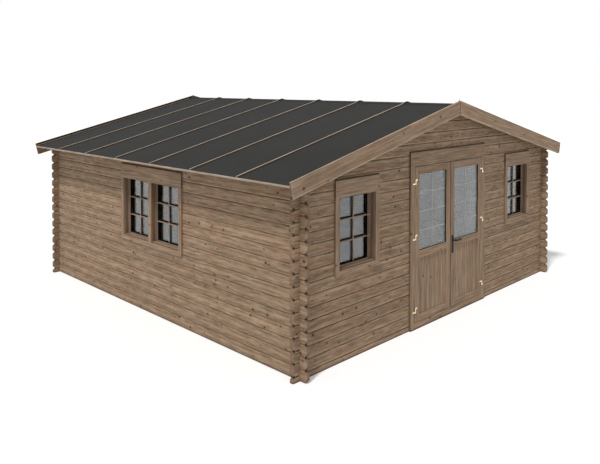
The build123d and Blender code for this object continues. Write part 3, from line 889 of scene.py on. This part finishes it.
buildWindows("front", "frontWindow", "front_window_frames", "front_window_trims", "front_window_sashes",
             "front_window_glass", windowSettings["seed"])
buildWindows("left", "sideWindow", "side_window_frame", "side_window_trim", "side_window_sashes",
             "side_window_glass", windowSettings["seed"] + 10)
print("windows glazed")


# door: frame with stops, trim, two leaves with boarded panels and glazed tops
doorSettings = {
    "trimWidth": 0.074, "gap": 0.006, "stop": 0.015, "threshold": 0.016, "outlineShade": 0.6,
    "shadeStripHeight": 0.010, "shadeStripShare": 0.85, "edge": 0.002, "seed": 151,
    "stile": 0.080, "topRail": 0.080, "bottomRail": 0.070, "midRail": 0.080,
    "meetingWidth": 0.009, "meetingDepth": 0.014, "panelBoards": 6, "panelEdge": 0.005, "panelGap": 0.0025,
    "columns": 2, "rows": 4, "barWidth": 0.018, "barThickness": 0.004, "barEdge": 0.0008, "spacer": 0.010,
    "lining": 0.003, "liningInset": 0.003, "paneThickness": 0.003, "paneGap": 0.008,
}


def doorBox(nodeName):
    return solidBoxes(nodeName, "front")[0]


def buildDoorFrame(clearHalf, clearTop, stopFront):
    s = doorSettings
    edge = s["edge"]
    low, high = doorBox("door_frame")
    sill = low.z + s["threshold"]
    stopHalf = clearHalf - s["stop"]
    bm = newMesh()
    addBoard(bm, low, (high.x, high.y, sill), edge)
    for side in (-1, 1):
        outer, inner, stop = side * high.x, side * clearHalf, side * stopHalf
        addBoard(bm, (min(outer, inner), low.y, sill), (max(outer, inner), high.y, high.z), edge)
        addBoard(bm, (min(inner, stop), stopFront, sill), (max(inner, stop), high.y, clearTop), edge)
    addBoard(bm, (-clearHalf, low.y, clearTop), (clearHalf, high.y, high.z), edge)
    addBoard(bm, (-stopHalf, stopFront, clearTop - s["stop"]), (stopHalf, high.y, clearTop), edge)
    fitWood("doorFrame", bm, "front", "cabin", trimWood, s["seed"], ["door_frame"])
    return sill


def buildDoorTrim(low, high, clearHalf, clearTop, sill):
    s = doorSettings
    edge = s["edge"]
    bm = newMesh()
    addBoard(bm, (low.x, low.y, clearTop), high, edge)
    addBoard(bm, low, (-clearHalf, high.y, clearTop), edge)
    addBoard(bm, (clearHalf, low.y, low.z), (high.x, high.y, clearTop), edge)
    addBoard(bm, (-clearHalf, low.y, low.z), (clearHalf, high.y, sill), edge)
    # painted shade round the door trim
    shadeOutline(bm, low, high, s["outlineShade"])
    fitWood("doorTrim", bm, "front", "cabin", trimWood, s["seed"] + 7, ["door_trim"])
    bm = newMesh()
    addShadeStrip(bm, low, high, s)
    fitWood("doorShadeStrip", bm, "front", "cabin", trimWood, s["seed"] + 2)


def buildDoorway():
    s = doorSettings
    trimLow, trimHigh = doorBox("door_trim")
    leafHigh = doorBox("right_door_leaf")[1]
    clearHalf = trimHigh.x - s["trimWidth"]
    clearTop = leafHigh.z + s["gap"]
    sill = buildDoorFrame(clearHalf, clearTop, leafHigh.y + s["gap"])
    buildDoorTrim(trimLow, trimHigh, clearHalf, clearTop, sill)


def leafBoards(word, low, high, midFoot):
    s = doorSettings
    # the right leaf is rebated where the leaves meet
    rebated = s["meetingWidth"] if word == "right" else 0
    frontLow = Vector((low.x + rebated, low.y, low.z))
    widths = (s["stile"] - rebated, s["stile"], s["bottomRail"], s["topRail"])
    midLow = (low.x + s["stile"], low.y, midFoot)
    midHigh = (high.x - s["stile"], high.y, midFoot + s["midRail"])
    bm = newMesh()
    frameBoards(bm, frontLow, high, widths, s["edge"])
    addBoard(bm, midLow, midHigh, s["edge"])
    if rebated:
        addBoard(bm, (low.x, low.y + s["meetingDepth"], low.z), (frontLow.x, high.y, high.z), s["edge"])
    # painted shade on the outer faces of each leaf and in the meeting gap
    shadeOutline(bm, frontLow, high, s["outlineShade"])
    shadeOutline(bm, low, high, s["outlineShade"])
    markFaces(bm, "paintedShade", s["outlineShade"], lambda normal, middle: middle.x < frontLow.x)   # painted shade in the rebate
    return bm


def glazeLeaf(word, openLow, openHigh):
    s = doorSettings
    slack = meshSettings["slack"]
    body = f"{word}_door"
    left, right, bottom, top = openLow.x, openHigh.x, openLow.z, openHigh.z
    paneLow, paneHigh = doorBox(f"{word}_door_glass")
    openHigh.y = frontOfPanes(paneLow, paneHigh, s) - slack
    bm = newMesh()
    lining(bm, openLow, openHigh, s["lining"])
    makePiece(f"{word}DoorLining", placed(bm, "front"), body, rubber)

    # bars and spacers between the two panes
    middle = (paneLow.y + paneHigh.y) / 2
    barFront, barBack = middle - s["barThickness"] / 2, middle + s["barThickness"] / 2
    spacerFront, spacerBack = middle - s["paneGap"] / 2 + slack, middle + s["paneGap"] / 2 - slack
    bm = newMesh()
    barGrid(bm, Vector((left, barFront, bottom)), Vector((right, barBack, top)), s, s["barEdge"])
    lining(bm, Vector((left, spacerFront, bottom)), Vector((right, spacerBack, top)), s["spacer"])
    makePiece(f"{word}DoorBars", placed(bm, "front"), body, paleSpacer)
    bm = newMesh()
    doublePane(bm, paneLow, paneHigh, s)
    makePiece(f"{word}DoorPanes", placed(bm, "front"), body, glass, [f"{word}_door_glass"])


def buildLeaf(word, seed):
    s = doorSettings
    body = f"{word}_door"
    low, high = doorBox(f"{word}_door_leaf")
    panelLow, panelHigh = doorBox(f"{word}_door_panel")
    grooveDepth = low.x + s["stile"] - panelLow.x   # the panel sits in grooves of the stiles and rails
    midFoot = panelHigh.z - grooveDepth
    bm = leafBoards(word, low, high, midFoot)
    fitWood(f"{word}DoorLeaf", bm, "front", body, trimWood, seed, [f"{word}_door_leaf"])
    bm = newMesh()
    width = (panelHigh.x - panelLow.x) / s["panelBoards"]
    boardRow(bm, panelLow, panelHigh, 0, width, s["panelGap"], s["panelEdge"])
    fitWood(f"{word}DoorPanel", bm, "front", body, trimWood, seed + 1, [f"{word}_door_panel"])
    openLow = Vector((low.x + s["stile"], low.y + s["liningInset"], midFoot + s["midRail"]))
    openHigh = Vector((high.x - s["stile"], high.y, high.z - s["topRail"]))
    glazeLeaf(word, openLow, openHigh)


buildDoorway()
buildLeaf("left", doorSettings["seed"] + 10)
buildLeaf("right", doorSettings["seed"] + 20)
print("doors hung")


# inner trims: boards round the openings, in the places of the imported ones
innerSettings = {"width": 0.055, "edge": 0.002, "deepest": 0.1, "lowestSill": 0.2, "seed": 191}


def buildInnerTrims():
    s = innerSettings
    width, edge = s["width"], s["edge"]
    bm = newMesh()
    for wall in wallPlaces:
        part = newMesh()
        for low, high in solidBoxes("inner_trims", wall):
            head = high.z - width
            onThisWall = high.y - low.y < s["deepest"]
            if onThisWall and low.z > s["lowestSill"]:   # round a window
                frameBoards(part, low, high, [width] * 4, edge)
            elif onThisWall:   # over and beside the door
                addBoard(part, (low.x, low.y, head), high, edge)
                addBoard(part, low, (low.x + width, high.y, head), edge)
                addBoard(part, (high.x - width, low.y, low.z), (high.x, high.y, head), edge)
        mesh = bpy.data.meshes.new("innerTrimPart")
        placed(part, wall).to_mesh(mesh)
        part.free()
        bm.from_mesh(mesh)
        bpy.data.meshes.remove(mesh)
    layGrain(bm, s["seed"])
    makePiece("innerTrims", bm, "cabin", trimWood, ["inner_trims"])


buildInnerTrims()
print("openings trimmed")


# door furniture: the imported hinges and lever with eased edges
furnitureSettings = {"hingeEdge": 0.0006, "plateEdge": 0.0012, "leverEdge": 0.003, "leverSegments": 3,
                     "sharpAngle": 35, "roundedAngle": 40}


def carriedMetal(node, name, body, material, edge, segments=2):
    bm = mergedCopy(node)
    softenEdges(bm, edge, segments, furnitureSettings["sharpAngle"])
    makePiece(name, bm, body, material, [node], furnitureSettings["roundedAngle"])


hingeEdge = furnitureSettings["hingeEdge"]
carriedMetal("frame_hinges", "frameHinges", "cabin", brass, hingeEdge)
carriedMetal("left_door_hinges", "leftDoorHinges", "left_door", brass, hingeEdge)
carriedMetal("right_door_hinges", "rightDoorHinges", "right_door", brass, hingeEdge)
carriedMetal("lever_plates", "leverPlates", "right_door", blackMetal,
             furnitureSettings["plateEdge"])
carriedMetal("door_lever", "doorLever", "lever_handle", blackMetal,
             furnitureSettings["leverEdge"], furnitureSettings["leverSegments"])
print("furniture fitted")


# studio: pale floor that keeps the shadow, white surroundings, soft light from the left
studioSettings = {
    "cameraPlace": (-6.427, -6.433, 2.631), "lens": 38.86, "shift": -0.22, "yaw": 44.98, "tilt": 1.36,
    "clipEnd": 200, "ambient": 0.46, "sunStrength": 2.20, "sunAngle": 7, "sunFrom": (-0.47, -0.16, 0.90),
    "floorColour": (0.86, 0.86, 0.86, 1), "floorLift": 0.19, "floorSize": 60.0, "white": (1, 1, 1, 1),
}


def seenDirectly(tree):   # 1 for camera, glossy and transmission rays
    path = addNode(tree, "LightPath").outputs
    seen = calculate(tree, "MAXIMUM", path["Is Camera Ray"], path["Is Glossy Ray"])
    return calculate(tree, "MAXIMUM", seen, path["Is Transmission Ray"])


def layStudioFloor(s):
    tree, shader, material = newMaterial("studioFloor")
    shader.inputs["Base Color"].default_value = s["floorColour"]
    shader.inputs["Roughness"].default_value = 1.0
    shader.inputs["Specular IOR Level"].default_value = 0.0
    shader.inputs["Emission Color"].default_value = s["white"]
    lift = scaledValue(tree, seenDirectly(tree), s["floorLift"])
    connect(tree, lift, shader.inputs["Emission Strength"])
    bm = newMesh()
    bmesh.ops.create_grid(bm, x_segments=1, y_segments=1, size=s["floorSize"])
    mesh = bpy.data.meshes.new("studioFloor")
    bm.to_mesh(mesh)
    bm.free()
    mesh.materials.append(material)
    floor = bpy.data.objects.new("studioFloor", mesh)
    bpy.context.scene.collection.objects.link(floor)


def lightStudio(s):
    world = bpy.data.worlds.new("studioWorld")
    world.use_nodes = True
    bpy.context.scene.world = world
    tree = world.node_tree
    background = tree.nodes["Background"]
    background.inputs["Color"].default_value = s["white"]
    strength = remap(tree, seenDirectly(tree), 0, 1, s["ambient"], 1.0)
    connect(tree, strength, background.inputs["Strength"])

    sun = bpy.data.objects.new("softSun", bpy.data.lights.new("softSun", "SUN"))
    sun.data.energy = s["sunStrength"]
    sun.data.angle = math.radians(s["sunAngle"])
    sun.rotation_euler = Vector(s["sunFrom"]).to_track_quat("Z", "Y").to_euler()
    bpy.context.scene.collection.objects.link(sun)


def placeCamera(s):
    camera = bpy.data.objects.new("photoCamera", bpy.data.cameras.new("photoCamera"))
    camera.data.lens = s["lens"]
    camera.data.shift_y = s["shift"]
    camera.data.clip_end = s["clipEnd"]
    camera.location = s["cameraPlace"]
    camera.rotation_euler = (math.radians(90 - s["tilt"]), 0, -math.radians(s["yaw"]))
    bpy.context.scene.collection.objects.link(camera)
    bpy.context.scene.camera = camera


layStudioFloor(studioSettings)
lightStudio(studioSettings)
placeCamera(studioSettings)
bpy.context.scene.view_settings.view_transform = "Standard"
print("studio lit")
